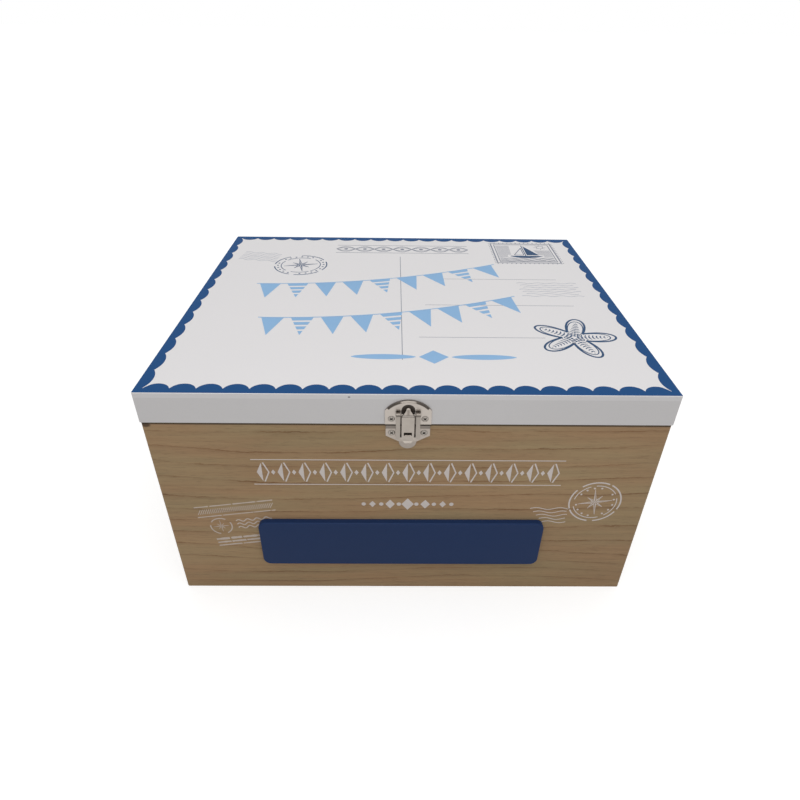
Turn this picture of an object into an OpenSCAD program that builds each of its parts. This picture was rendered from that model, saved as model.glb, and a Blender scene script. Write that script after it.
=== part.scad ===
// Wooden ditty box with a hinged lid, a glued name plate and a sprung hasp latch.
// The box stands on the rims of its walls. The front faces -Y and +Z is up.
// The origin is at the middle of the footprint, on the surface that the box stands on.

/* [Box] */
// Outside width of the body
box_w = 300; // [240:1:420]
// Outside depth of the body, front face to back face
box_d = 260; // [180:1:360]
// Height of the body without the lid
box_h = 140; // [90:1:240]
// Thickness of the four walls
wall_t = 9; // [7:0.5:14]
// Radius on the upright outer edges of the body
wall_edge_r = 1.5; // [0.5:0.1:2.5]
// Depth of the lap in the front and back walls that takes the side walls
corner_lap = 4; // [1:0.5:5]
// Thickness of the bottom board
bottom_t = 3; // [2.5:0.5:6]
// Height of the bottom board above the surface the box stands on
bottom_lift = 5; // [2:0.5:15]
// Depth of the groove that holds the bottom board
groove_depth = 4; // [1:0.5:5]

/* [Lid] */
// Height of the lid, seam to top
lid_h = 20; // [19:0.5:60]
// Thickness of the board on top of the lid
lid_board_t = 3; // [2.5:0.5:3]
// Thickness of the four lid rails
rail_t = 9; // [8.5:0.5:14]
// How far the lid stands out over the front and the sides of the body
lid_overhang = 0.5; // [0:0.1:2]
// Gap of the seam between the body and the closed lid
seam_gap = 0.4; // [0.2:0.1:0.5]
// Radius on the upright outer edges of the lid
lid_edge_r = 1; // [0.5:0.1:2]

/* [Name plate] */
// Width of the name plate
plaque_w = 181; // [80:1:220]
// Height of the name plate
plaque_h = 38; // [20:1:60]
// Thickness of the name plate
plaque_t = 4; // [2:0.5:4.5]
// Radius of the corners of the name plate
plaque_corner_r = 5; // [2:0.5:9]
// Size of the bevel round the face of the name plate
plaque_bevel = 0.6; // [0.2:0.1:1.5]
// Height of the middle of the name plate above the surface the box stands on
plaque_mid_z = 46.2; // [35:0.1:58]
// Sideways place of the middle of the name plate
plaque_mid_x = -2.6; // [-8:0.1:8]

/* [Latch plates] */
// Thickness of the sheet of the two latch plates
latch_sheet = 0.8; // [0.6:0.05:1]
// Width of the plate on the lid
lid_plate_w = 26; // [25:0.5:30]
// Height of the lower edge of the lid plate above the seam
lid_plate_low = 0.7; // [0.6:0.1:1]
// Height of the shoulders of the lid plate above the seam
lid_plate_shoulder = 10; // [8:0.5:11]
// Height of the top of the arch of the lid plate above the seam
lid_plate_top = 16.7; // [15.7:0.1:18]
// Radius of the rolled bead along the arch
bead_r = 0.7; // [0.4:0.1:0.9]
// How far the bead stands out over the edge of the arch
bead_proud = 0.15; // [0.1:0.05:0.3]
// Width of the arched window in the lid plate
window_w = 7.6; // [7.4:0.1:9]
// Height of the top of the window above the seam
window_top = 14.1; // [13:0.1:14.4]
// Width of the catch plate on the body
catch_plate_w = 25.2; // [24:0.2:29]
// Depth of the upper edge of the catch plate below the seam
catch_plate_high = 0.5; // [0.4:0.1:2.6]
// Depth of the shoulders of the catch plate below the seam
catch_plate_shoulder = 7.6; // [7:0.1:9]
// Depth of the rounded foot of the catch plate below the seam
catch_plate_foot = 16.8; // [15.5:0.1:19]
// Radius of the rounded foot of the catch plate
catch_foot_r = 5; // [4.5:0.1:6]

/* [Latch flap] */
// Thickness of the sheet of the flap
flap_sheet = 0.7; // [0.5:0.05:0.8]
// Width of the flap
flap_w = 13.7; // [13.2:0.1:14]
// Space between the lid plate and the closed flap
flap_gap = 0.25; // [0.2:0.05:0.5]
// Depth of the end of the lip below the seam
flap_low = 11.4; // [11.2:0.1:12.5]
// Depth below the seam at which the side arms of the flap end
flap_arm_low = 9; // [8.6:0.1:9.2]
// Width of the rounded lip
lip_w = 7.2; // [6:0.1:8]
// Depth below the seam at which the lip starts to bend outward
lip_bend = 9; // [8.6:0.1:9.2]
// Inside radius of the bend of the lip
lip_bend_r = 1.5; // [1:0.1:1.8]
// Angle by which the lip is bent outward
lip_angle = 40; // [25:1:45]
// Width of the spring tongue in the middle of the flap
tongue_w = 7.1; // [6.8:0.1:7.4]
// Width of each slit beside the spring tongue
slit_w = 0.9; // [0.7:0.1:1.1]
// Height of the free end of the spring tongue above the seam
tongue_top = 6.1; // [4:0.1:6.3]
// Depth of the lower ends of the slits below the seam
slit_low = 7.8; // [7.2:0.1:8]
// Width of the catch slot
slot_w = 4.6; // [4:0.1:5.2]
// Height of the catch slot
slot_h = 2.2; // [2:0.1:2.4]
// Depth of the middle of the catch slot below the seam
slot_low = 5.5; // [5:0.1:5.8]

/* [Latch pin and catch] */
// Radius of the latch pin
latch_pin_r = 0.6; // [0.5:0.05:0.75]
// Height of the latch pin above the seam
latch_pin_up = 8.4; // [8.3:0.1:9]
// Running clearance between the latch pin and its rolled knuckles
latch_pin_clear = 0.05; // [0.02:0.01:0.08]
// Width of the curled tongue of the lid plate that holds the pin
curl_w = 6.6; // [6:0.1:7]
// Angle above the pin at which the curl runs out into its straight tip
curl_lean = 39; // [34:1:44]
// Height of the tip of the curled tongue above the seam
curl_tip_up = 12.1; // [11.8:0.1:12.4]
// Radius of the rounded tip of the curled tongue
curl_tip_r = 1.2; // [0.8:0.1:1.5]
// How far the middle of the catch lies below the middle of its slot
catch_drop = 0.4; // [0:0.1:0.45]
// How far the catch stands out of the catch plate
catch_reach = 2.6; // [2.2:0.1:3]
// Side clearance of the catch in its slot
catch_side_clear = 0.5; // [0.3:0.1:0.8]
// Radius of the rounded nose of the catch
catch_nose_r = 0.45; // [0.42:0.01:0.5]

/* [Latch screws] */
// Distance between the two screws of the lid plate
lid_screw_pitch = 18.8; // [18.4:0.2:21]
// Height of the screws of the lid plate above the seam
lid_screw_up = 4.5; // [3.4:0.1:6]
// Distance between the two screws of the catch plate
catch_screw_pitch = 18.4; // [18.2:0.2:20]
// Depth of the screws of the catch plate below the seam
catch_screw_low = 5.5; // [4.8:0.1:6]

/* [Screws] */
// Radius of the screw heads
screw_head_r = 1.8; // [1.5:0.05:1.9]
// Height of the countersunk part of the screw heads
screw_head_h = 0.7; // [0.5:0.05:0.8]
// Radius of the screw shanks
screw_shank_r = 0.9; // [0.7:0.05:1]
// Length of the screws
screw_l = 7.5; // [5:0.5:8]
// Clearance of a screw head in its countersink
screw_clear = 0.2; // [0.1:0.05:0.25]
// Width of the arms of the cross recess
cross_w = 0.6; // [0.3:0.05:0.7]
// Depth of the cross recess
cross_depth = 0.65; // [0.3:0.05:0.7]

/* [Hinges] */
// Length of a hinge along the seam
hinge_l = 32; // [24:1:50]
// Height of a hinge leaf, seam to outer edge
leaf_h = 11; // [10:0.5:14]
// Thickness of the hinge leaves
leaf_t = 1; // [0.8:0.1:1.3]
// Radius of the hinge pins
hinge_pin_r = 0.9; // [0.7:0.05:1.2]
// Running clearance between a hinge pin and its knuckles
hinge_pin_clear = 0.05; // [0.02:0.01:0.08]
// Gap between neighbouring knuckles
knuckle_gap = 0.25; // [0.2:0.05:0.4]
// Knuckles on one hinge, an odd number
knuckles = 5; // [3:2:7]
// Distance from each end of the back of the body to the near end of its hinge
hinge_inset = 39; // [15:1:70]
// Distance between the screws of one leaf
hinge_screw_pitch = 20; // [14:0.5:22]
// Distance from the seam to the screws of a leaf
hinge_screw_out = 6.6; // [6:0.1:8]
// How far the head of a hinge pin stands out at each end
pin_head_l = 0.7; // [0.4:0.1:1.2]

/* [Hidden] */
$fn = 48;
eps = 0.01;
wood = "tan";
paint = "white";
navy = "midnightblue";
steel = "silver";

// Reach of the hinges behind the body and of the latch in front of it
knuckle_r = hinge_pin_r + hinge_pin_clear + leaf_t;
hinge_reach = 2 * knuckle_r;
curl_in = latch_pin_r + latch_pin_clear;
flap_knuckle_r = curl_in + flap_sheet;
curl_r = curl_in + latch_sheet;
latch_pin_out = latch_sheet + flap_gap + flap_knuckle_r;
flap_back = latch_sheet + flap_gap;
flap_front = flap_back + flap_sheet;
lip_straight = (flap_low - lip_bend - (lip_bend_r + flap_sheet) * sin(lip_angle)) / cos(lip_angle);
lip_reach = lip_bend_r * (1 - cos(lip_angle)) + lip_straight * sin(lip_angle);
latch_reach = lid_overhang + max(flap_front + lip_reach, latch_pin_out + curl_r);

// The footprint of everything, latch to hinges, is centred on the origin
front_y = -(box_d + latch_reach + hinge_reach) / 2 + latch_reach;
back_y = front_y + box_d;
lid_front_y = front_y - lid_overhang;
lid_w = box_w + 2 * lid_overhang;
lid_d = box_d + lid_overhang;
rail_low = box_h + seam_gap;
rail_high = box_h + lid_h - lid_board_t;
side_l = box_d - 2 * (wall_t - corner_lap);
hinge_axis_z = box_h + seam_gap / 2;
hinge_x = box_w / 2 - hinge_inset - hinge_l / 2;
catch_low = slot_low + catch_drop;
screw_hole_r = screw_shank_r + 0.05;
leaf_edge = knuckle_r + knuckle_gap;

// A board whose two upright front edges are rounded, width w, thickness t, height h
module board(w, t, h, r) {
    translate([-w / 2, r, 0]) cube([w, t - r, h]);
    translate([-w / 2 + r, 0, 0]) cube([w - 2 * r, t, h]);
    for (side = [-1, 1])
        translate([side * (w / 2 - r), r, 0]) cylinder(r = r, h = h);
}

// Places its children on the front of the body: x across, y up from the seam, z outward
module on_body_front() {
    translate([0, front_y, box_h]) rotate([90, 0, 0]) children();
}

// The same on the front of the lid
module on_lid_front() {
    translate([0, lid_front_y, box_h]) rotate([90, 0, 0]) children();
}

// The same on the back of the box, at one hinge, with y up from the hinge axis
module on_back(x) {
    translate([x, back_y, hinge_axis_z]) rotate([90, 0, 180]) children();
}

// Pilot hole of one screw, drilled inward from z = 0
module pilot() {
    translate([0, 0, -screw_l]) cylinder(r = screw_hole_r, h = screw_l + 1);
}

// Countersunk hole through a sheet of thickness t whose front is at z = t
module countersink(t) {
    translate([0, 0, -eps]) cylinder(r = screw_hole_r, h = t + 2 * eps);
    translate([0, 0, t - screw_head_h])
        cylinder(r1 = screw_shank_r + screw_clear, r2 = screw_head_r + screw_clear, h = screw_head_h);
    translate([0, 0, t - eps]) cylinder(r = screw_head_r + screw_clear, h = 1);
}

// Countersunk cross-head screw whose head is flush with z = t
module screw(t) {
    point_h = 1.6;
    translate([0, 0, t]) difference() {
        union() {
            translate([0, 0, -screw_head_h])
                cylinder(r1 = screw_shank_r, r2 = screw_head_r, h = screw_head_h);
            cylinder(r1 = screw_head_r, r2 = screw_head_r - 0.35, h = 0.2);
            translate([0, 0, -screw_l + point_h])
                cylinder(r = screw_shank_r, h = screw_l - point_h - screw_head_h + eps);
            translate([0, 0, -screw_l]) cylinder(r1 = 0.15, r2 = screw_shank_r, h = point_h);
        }
        for (turn = [45, 135])
            rotate([0, 0, turn])
                translate([-screw_head_r * 0.62, -cross_w / 2, 0.2 - cross_depth])
                    cube([screw_head_r * 1.24, cross_w, cross_depth + 1]);
    }
}

// Screw places of the latch plates and of one hinge leaf
module at_lid_screws() {
    for (side = [-1, 1])
        translate([side * lid_screw_pitch / 2, lid_screw_up, 0]) children();
}
module at_catch_screws() {
    for (side = [-1, 1])
        translate([side * catch_screw_pitch / 2, -catch_screw_low, 0]) children();
}
module at_leaf_screws(up) {
    for (side = [-1, 1])
        translate([side * hinge_screw_pitch / 2, up * hinge_screw_out, 0]) children();
}
module at_hinges() {
    for (side = [-1, 1]) on_back(side * hinge_x) children();
}

// The bottom board sits in a groove that runs round all four walls
module bottom_board() {
    reach = 2 * (wall_t - groove_depth);
    color(wood) translate([0, (front_y + back_y) / 2, bottom_lift + bottom_t / 2])
        cube([box_w - reach, box_d - reach, bottom_t], center = true);
}

// Space that the two side walls take, with their ends in the laps of the front and back
module side_space() {
    for (side = [-1, 1])
        translate([side * (box_w - wall_t) / 2, (front_y + back_y) / 2, box_h / 2])
            cube([wall_t, side_l, box_h + 2], center = true);
}

module front_wall() {
    color(wood) difference() {
        translate([0, front_y, 0]) board(box_w, wall_t, box_h, wall_edge_r);
        side_space();
        bottom_board();
        on_body_front() at_catch_screws() pilot();
    }
}

module back_wall() {
    color(wood) difference() {
        translate([0, back_y, 0]) rotate([0, 0, 180]) board(box_w, wall_t, box_h, wall_edge_r);
        side_space();
        bottom_board();
        at_hinges() at_leaf_screws(-1) pilot();
    }
}

// One side wall, side is -1 on the left and 1 on the right
module side_wall(side) {
    color(wood) difference() {
        translate([side * (box_w - wall_t) / 2, (front_y + back_y) / 2, box_h / 2])
            cube([wall_t, side_l, box_h], center = true);
        bottom_board();
    }
}
module left_wall() { side_wall(-1); }
module right_wall() { side_wall(1); }

// Rounded slab with a bevel round its face, standing on z = 0
module bevelled_slab(w, h, t, r, c) {
    for (sx = [-1, 1], sy = [-1, 1])
        translate([sx * (w / 2 - r), sy * (h / 2 - r), 0]) {
            cylinder(r = r, h = t - c);
            translate([0, 0, t - c]) cylinder(r1 = r, r2 = r - c, h = c);
        }
    translate([0, h / 2 - r, 0]) rotate([90, 0, 0])
        linear_extrude(h - 2 * r) slab_section(w, t, c);
    translate([-w / 2 + r, 0, 0]) rotate([90, 0, 90])
        linear_extrude(w - 2 * r) slab_section(h, t, c);
}

// Cross-section of the slab, width w
module slab_section(w, t, c) {
    polygon([[-w / 2, 0], [w / 2, 0], [w / 2, t - c], [w / 2 - c, t], [c - w / 2, t], [-w / 2, t - c]]);
}

module name_plate() {
    color(navy) translate([plaque_mid_x, front_y, plaque_mid_z]) rotate([90, 0, 0])
        bevelled_slab(plaque_w, plaque_h, plaque_t, plaque_corner_r, plaque_bevel);
}

// The lid board is rounded at its four upright edges
module lid_board() {
    color(paint) translate([0, lid_front_y, rail_high]) {
        board(lid_w, lid_d / 2, lid_board_t, lid_edge_r);
        translate([0, lid_d, 0]) rotate([0, 0, 180])
            board(lid_w, lid_d / 2, lid_board_t, lid_edge_r);
    }
}

module lid_front_rail() {
    color(paint) difference() {
        translate([0, lid_front_y, rail_low])
            board(lid_w, rail_t, rail_high - rail_low, lid_edge_r);
        on_lid_front() at_lid_screws() pilot();
    }
}

module lid_back_rail() {
    color(paint) difference() {
        translate([0, back_y, rail_low]) rotate([0, 0, 180])
            board(lid_w, rail_t, rail_high - rail_low, lid_edge_r);
        at_hinges() at_leaf_screws(1) pilot();
    }
}

// One side rail of the lid, between the front and back rails
module side_rail(side) {
    color(paint)
        translate([side * (lid_w - rail_t) / 2 - rail_t / 2, lid_front_y + rail_t, rail_low])
            cube([rail_t, lid_d - 2 * rail_t, rail_high - rail_low]);
}
module lid_left_rail() { side_rail(-1); }
module lid_right_rail() { side_rail(1); }

// Outline of the lid plate: a plate with square shoulders under a flat arch
module lid_plate_outline() {
    rise = lid_plate_top - lid_plate_shoulder;
    half = lid_plate_w / 2;
    arch_r = (half * half + rise * rise) / (2 * rise);
    translate([-half, lid_plate_low]) square([lid_plate_w, lid_plate_shoulder - lid_plate_low]);
    intersection() {
        translate([0, lid_plate_top - arch_r]) circle(r = arch_r, $fn = 96);
        translate([-half, lid_plate_shoulder - eps]) square([lid_plate_w, rise + 1]);
    }
}

// Rolled bead that runs along the arch
module arch_bead() {
    rise = lid_plate_top - lid_plate_shoulder;
    half = lid_plate_w / 2;
    arch_r = (half * half + rise * rise) / (2 * rise);
    sweep = asin((half - 2 * bead_r) / arch_r);
    translate([0, lid_plate_top - arch_r, latch_sheet])
        rotate([0, 0, 90 - sweep])
            rotate_extrude(angle = 2 * sweep, $fn = 96)
                translate([arch_r - bead_r + bead_proud, 0]) circle(r = bead_r, $fn = 24);
}

// The window has a round top and starts at the root of the curled tongue
module window_outline() {
    root = latch_pin_up - curl_r;
    translate([-window_w / 2, root]) square([window_w, window_top - window_w / 2 - root]);
    translate([0, window_top - window_w / 2]) circle(d = window_w);
}

// Extrudes a side view, drawn x outward and y up, across width w
module across(w) {
    translate([w / 2, 0, 0]) rotate([0, -90, 0]) linear_extrude(w) children();
}

// Side view of the curled tongue. It leaves the plate at its root, runs under and in front
// of the pin and leans back to its tip in the window.
module curl_section() {
    far = 2 * curl_r;
    straight = (curl_tip_up - latch_pin_up - curl_r * sin(curl_lean)) / cos(curl_lean);
    translate([0, latch_pin_up - curl_r]) square([latch_pin_out, latch_sheet]);
    translate([0, latch_pin_up - curl_r - latch_sheet]) square([latch_sheet, 2 * latch_sheet]);
    translate([latch_pin_out, latch_pin_up]) {
        intersection() {
            difference() {
                circle(r = curl_r);
                circle(r = curl_in);
            }
            polygon([[0, 0], [0, -far], [far, -far], [far, far * tan(curl_lean)]]);
        }
        rotate([0, 0, curl_lean]) translate([curl_in, -eps]) square([latch_sheet, straight + eps]);
    }
}

// Front view of the curled tongue: full width round the pin, then tapered to a round tip
module curl_outline() {
    low = latch_pin_up - curl_r - latch_sheet;
    tip_y = curl_tip_up - curl_tip_r;
    polygon([[-curl_w / 2, low], [curl_w / 2, low], [curl_w / 2, latch_pin_up],
        for (a = [0 : 15 : 180]) [curl_tip_r * cos(a), tip_y + curl_tip_r * sin(a)],
        [-curl_w / 2, latch_pin_up]]);
}

module latch_lid_plate() {
    color(steel) on_lid_front() {
        difference() {
            union() {
                linear_extrude(latch_sheet) lid_plate_outline();
                arch_bead();
            }
            translate([0, 0, -1]) linear_extrude(latch_sheet + 3) window_outline();
            at_lid_screws() countersink(latch_sheet);
        }
        intersection() {
            across(curl_w) curl_section();
            linear_extrude(latch_pin_out + curl_r + 1) curl_outline();
        }
    }
}

// Side view of the flap: rolled knuckle, flat sheet and a lip bent outward
module flap_section() {
    centre_x = flap_front + lip_bend_r;
    out_r = lip_bend_r + flap_sheet;
    difference() {
        union() {
            translate([latch_pin_out, latch_pin_up]) circle(r = flap_knuckle_r);
            translate([flap_back, -lip_bend]) square([flap_sheet, latch_pin_up + lip_bend]);
            translate([centre_x, -lip_bend]) {
                intersection() {
                    difference() {
                        circle(r = out_r, $fn = 96);
                        circle(r = lip_bend_r, $fn = 96);
                    }
                    polygon([[0, 0], [-2 * out_r, 0], [-2 * out_r, -2 * out_r * tan(lip_angle)]]);
                }
                rotate([0, 0, lip_angle]) translate([-out_r, -lip_straight])
                    square([flap_sheet, lip_straight + eps]);
            }
        }
        translate([latch_pin_out, latch_pin_up]) circle(r = curl_in);
    }
}

// Front view of the flap: two side arms joined below, and a narrower rounded lip
module flap_outline() {
    high = latch_pin_up + flap_knuckle_r + 1;
    half = flap_w / 2;
    lip_y = lip_w / 2 - flap_low;
    turn = 20;
    shoulder_x = lip_w / 2 * cos(turn);
    shoulder_y = lip_y - lip_w / 2 * sin(turn);
    polygon([[-half, high], [half, high], [half, -flap_arm_low], [shoulder_x, shoulder_y],
        for (a = [-turn - 10 : -10 : turn - 170])
            [lip_w / 2 * cos(a), lip_y + lip_w / 2 * sin(a)],
        [-shoulder_x, shoulder_y], [-half, -flap_arm_low]]);
}

// Cut-outs of the flap: two slits that free the spring tongue, the space for the curled
// tongue of the lid plate above it, and the slot for the catch
module flap_cutouts() {
    high = 2 * latch_pin_up;
    inner = tongue_w + 2 * slit_w;
    for (side = [-1, 1])
        translate([side * (tongue_w + slit_w) / 2 - slit_w / 2, -slit_low])
            square([slit_w, slit_low + high]);
    translate([-inner / 2, tongue_top]) square([inner, high]);
    translate([-slot_w / 2, -slot_low - slot_h / 2]) square([slot_w, slot_h]);
}

module latch_flap() {
    depth = latch_reach + 10;
    color(steel) on_lid_front() difference() {
        intersection() {
            across(flap_w) flap_section();
            linear_extrude(depth) flap_outline();
        }
        linear_extrude(depth) flap_cutouts();
    }
}

module latch_pin() {
    color(steel) on_lid_front() translate([0, latch_pin_up, latch_pin_out])
        rotate([0, 90, 0]) cylinder(r = latch_pin_r, h = flap_w + 0.4, center = true);
}

// Outline of the catch plate: square shoulders that slope in to a rounded foot
module catch_plate_outline() {
    half = catch_plate_w / 2;
    foot_y = catch_foot_r - catch_plate_foot;
    polygon([[-half, -catch_plate_high], [half, -catch_plate_high], [half, -catch_plate_shoulder],
        for (a = [0 : -7.5 : -180])
            [catch_foot_r * cos(a), foot_y + catch_foot_r * sin(a)],
        [-half, -catch_plate_shoulder]]);
}

// The catch is a tab bent out of the plate, which leaves a window below it
module latch_catch_plate() {
    catch_w = slot_w - 2 * catch_side_clear;
    tab_l = catch_reach - catch_nose_r;
    color(steel) on_body_front() {
        difference() {
            linear_extrude(latch_sheet) catch_plate_outline();
            translate([-catch_w / 2, -catch_low - latch_sheet / 2 - tab_l, -1])
                cube([catch_w, tab_l, latch_sheet + 2]);
            at_catch_screws() countersink(latch_sheet);
        }
        translate([-catch_w / 2, -catch_low - latch_sheet / 2, 0])
            cube([catch_w, latch_sheet, latch_sheet + tab_l]);
        translate([0, -catch_low, latch_sheet + tab_l]) rotate([0, 90, 0])
            cylinder(r = catch_nose_r, h = catch_w, center = true);
    }
}

module latch_lid_screws() {
    color(steel) on_lid_front() at_lid_screws() screw(latch_sheet);
}
module latch_catch_screws() {
    color(steel) on_body_front() at_catch_screws() screw(latch_sheet);
}

// Outline of a hinge leaf with its two outer corners rounded, up is 1 or -1
module leaf_outline(up) {
    r = 1.5;
    scale([1, up]) {
        translate([-hinge_l / 2, leaf_edge]) square([hinge_l, leaf_h - leaf_edge - r]);
        translate([-hinge_l / 2 + r, leaf_edge]) square([hinge_l - 2 * r, leaf_h - leaf_edge]);
        for (side = [-1, 1]) translate([side * (hinge_l / 2 - r), leaf_h - r]) circle(r = r);
    }
}

// One hinge leaf with its share of the knuckles, counted from first in steps of two
module hinge_leaf(up, first) {
    pitch = hinge_l / knuckles;
    color(steel) difference() {
        union() {
            linear_extrude(leaf_t) leaf_outline(up);
            for (i = [first : 2 : knuckles - 1])
                translate([-hinge_l / 2 + i * pitch + knuckle_gap / 2, 0, 0]) {
                    translate([0, 0, knuckle_r]) rotate([0, 90, 0])
                        cylinder(r = knuckle_r, h = pitch - knuckle_gap);
                    translate([0, up > 0 ? 0 : -leaf_edge - eps, 0])
                        cube([pitch - knuckle_gap, leaf_edge + eps, leaf_t]);
                }
        }
        translate([0, 0, knuckle_r]) rotate([0, 90, 0])
            cylinder(r = hinge_pin_r + hinge_pin_clear, h = hinge_l + 2, center = true);
        at_leaf_screws(up) countersink(leaf_t);
    }
}

module hinge_pin() {
    color(steel) translate([0, 0, knuckle_r]) rotate([0, 90, 0]) {
        cylinder(r = hinge_pin_r, h = hinge_l, center = true);
        for (side = [-1, 1])
            translate([0, 0, side * (hinge_l + pin_head_l) / 2])
                cylinder(r = hinge_pin_r + 0.5, h = pin_head_l, center = true);
    }
}

module left_hinge_body_leaf() { on_back(-hinge_x) hinge_leaf(-1, 0); }
module left_hinge_lid_leaf() { on_back(-hinge_x) hinge_leaf(1, 1); }
module left_hinge_pin() { on_back(-hinge_x) hinge_pin(); }
module right_hinge_body_leaf() { on_back(hinge_x) hinge_leaf(-1, 0); }
module right_hinge_lid_leaf() { on_back(hinge_x) hinge_leaf(1, 1); }
module right_hinge_pin() { on_back(hinge_x) hinge_pin(); }
module hinge_body_screws() {
    color(steel) at_hinges() at_leaf_screws(-1) screw(leaf_t);
}
module hinge_lid_screws() {
    color(steel) at_hinges() at_leaf_screws(1) screw(leaf_t);
}

front_wall();
back_wall();
left_wall();
right_wall();
bottom_board();
name_plate();
lid_board();
lid_front_rail();
lid_back_rail();
lid_left_rail();
lid_right_rail();
latch_lid_plate();
latch_flap();
latch_pin();
latch_catch_plate();
latch_lid_screws();
latch_catch_screws();
left_hinge_body_leaf();
left_hinge_lid_leaf();
left_hinge_pin();
right_hinge_body_leaf();
right_hinge_lid_leaf();
right_hinge_pin();
hinge_body_screws();
hinge_lid_screws();
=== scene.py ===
import bpy
import bmesh
import math
import random
from collections import namedtuple
from mathutils import Matrix, Vector


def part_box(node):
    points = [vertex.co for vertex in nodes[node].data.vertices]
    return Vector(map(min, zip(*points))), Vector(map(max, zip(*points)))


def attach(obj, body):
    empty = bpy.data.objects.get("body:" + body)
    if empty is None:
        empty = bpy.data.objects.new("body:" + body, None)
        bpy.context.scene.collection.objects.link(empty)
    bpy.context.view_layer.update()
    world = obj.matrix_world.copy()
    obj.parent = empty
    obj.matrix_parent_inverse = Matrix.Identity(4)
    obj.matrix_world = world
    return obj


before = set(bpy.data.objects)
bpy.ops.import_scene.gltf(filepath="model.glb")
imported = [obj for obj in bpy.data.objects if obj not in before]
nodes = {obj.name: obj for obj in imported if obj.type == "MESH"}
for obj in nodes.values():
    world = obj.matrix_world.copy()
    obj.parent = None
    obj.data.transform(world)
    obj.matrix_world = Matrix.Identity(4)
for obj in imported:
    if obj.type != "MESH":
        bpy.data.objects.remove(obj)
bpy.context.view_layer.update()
MM = 0.001

# Shader nodes


class Tree:
    """Makes and links shader nodes. A value may be a number, a tuple or another node's socket."""

    def __init__(self, tree):
        self.tree = tree
        tree.nodes.clear()

    def node(self, kind, inputs=None, **settings):
        made = self.tree.nodes.new(kind)
        for key, value in settings.items():
            setattr(made, key, value)
        for key, value in (inputs or {}).items():
            self.feed(made.inputs[key], value)
        return made

    def feed(self, socket, value):
        if isinstance(value, bpy.types.NodeSocket):
            self.tree.links.new(value, socket)
        else:
            socket.default_value = value

    def math(self, operation, a, b=None, clamp=False):
        inputs = {0: a} if b is None else {0: a, 1: b}
        return self.node("ShaderNodeMath", inputs, operation=operation, use_clamp=clamp).outputs[0]

    def plus(self, a, b):
        return self.math("ADD", a, b)

    def minus(self, a, b):
        return self.math("SUBTRACT", a, b)

    def times(self, a, b):
        return self.math("MULTIPLY", a, b)

    def vector(self, operation, a, b=None):
        inputs = {0: a} if b is None else {0: a, 1: b}
        made = self.node("ShaderNodeVectorMath", inputs, operation=operation)
        return made.outputs["Value" if operation == "LENGTH" else "Vector"]

    def scaled(self, colour, value):
        inputs = {0: colour, "Scale": value}
        return self.node("ShaderNodeVectorMath", inputs, operation="SCALE").outputs["Vector"]

    def noise(self, where, scale, stretch=(1, 1, 1), detail=3.0, rough=0.5, offset=(0, 0, 0)):
        """The outputs of a noise; stretch and offset change the place that it is read at."""
        inputs = {"Vector": where, "Scale": stretch, "Location": offset}
        mapped = self.node("ShaderNodeMapping", inputs).outputs[0]
        inputs = {"Vector": mapped, "Scale": scale, "Detail": detail, "Roughness": rough}
        return self.node("ShaderNodeTexNoise", inputs).outputs

    def ramp(self, factor, stops):
        """Greys along stops, each (factor, grey)."""
        made = self.node("ShaderNodeValToRGB", {"Fac": factor})
        band = made.color_ramp
        while len(band.elements) < len(stops):
            band.elements.new(0.5)
        for element, (place, grey) in zip(band.elements, stops):
            element.position = place
            element.color = (grey, grey, grey, 1)
        return made.outputs["Color"]

    def mix(self, factor, a, b):
        """Colour a at factor 0 and colour b at factor 1."""
        made = self.node("ShaderNodeMix", data_type="RGBA")
        self.feed(made.inputs["Factor"], factor)
        for socket, colour in ((made.inputs[6], a), (made.inputs[7], b)):
            self.feed(socket, colour if isinstance(colour, bpy.types.NodeSocket) else (*colour, 1))
        return made.outputs[2]

    def span(self, value, low, high, soft):
        """1 between low and high, falling to 0 over soft inside each end."""
        rise = self.math("DIVIDE", self.minus(value, low), soft, clamp=True)
        fall = self.math("DIVIDE", self.minus(high, value), soft, clamp=True)
        return self.times(rise, fall)

    def bump(self, height, strength, distance):
        inputs = {"Height": height, "Strength": strength, "Distance": distance}
        return self.node("ShaderNodeBump", inputs).outputs[0]


def material(name):
    made = bpy.data.materials.new(name)
    made.use_nodes = True
    tree = Tree(made.node_tree)
    return made, tree, tree.node("ShaderNodeTexCoord").outputs["Object"]


def shade(tree, colour, rough, normal, **more):
    """Ends a tree in one shader; more holds further inputs, with _ for each space."""
    inputs = {"Base Color": colour, "Roughness": rough, "Normal": normal}
    inputs.update({key.replace("_", " "): value for key, value in more.items()})
    shader = tree.node("ShaderNodeBsdfPrincipled", inputs)
    tree.node("ShaderNodeOutputMaterial", {"Surface": shader.outputs[0]})


# A dark patch round a place, for stains and for painted shade: reach is its half size on each axis,
# and it is full inside core x reach
Spot = namedtuple("Spot", "place reach colour depth core")


def spotted(tree, where, shown, spot):
    offset = tree.vector("DIVIDE", tree.vector("SUBTRACT", where, spot.place), spot.reach)
    dark_patch = tree.ramp(tree.vector("LENGTH", offset), [(spot.core, spot.depth), (1.0, 0.0)])
    return tree.mix(dark_patch, shown, spot.colour)


def banded(tree, where, shown, bands, dark):
    """Darkens bands, each (limits, depth); limits is {axis: (low, high, soft)}, with X unsigned."""
    place = tree.node("ShaderNodeSeparateXYZ", {0: where}).outputs
    for limits, depth in bands:
        inside = depth
        for axis, (low, high, soft) in limits.items():
            value = tree.math("ABSOLUTE", place[axis]) if axis == "X" else place[axis]
            inside = tree.times(inside, tree.span(value, low, high, soft))
        shown = tree.mix(inside, shown, dark)
    return shown


def shade_hollows(tree, shown, distance, stops, dark):
    """Paints shade into inner corners and narrow gaps, by how open the surface is within distance.
    """
    look = tree.node("ShaderNodeAmbientOcclusion", {"Distance": distance}, samples=8)
    return tree.mix(tree.ramp(look.outputs["AO"], stops), shown, dark)


# Wood

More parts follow.
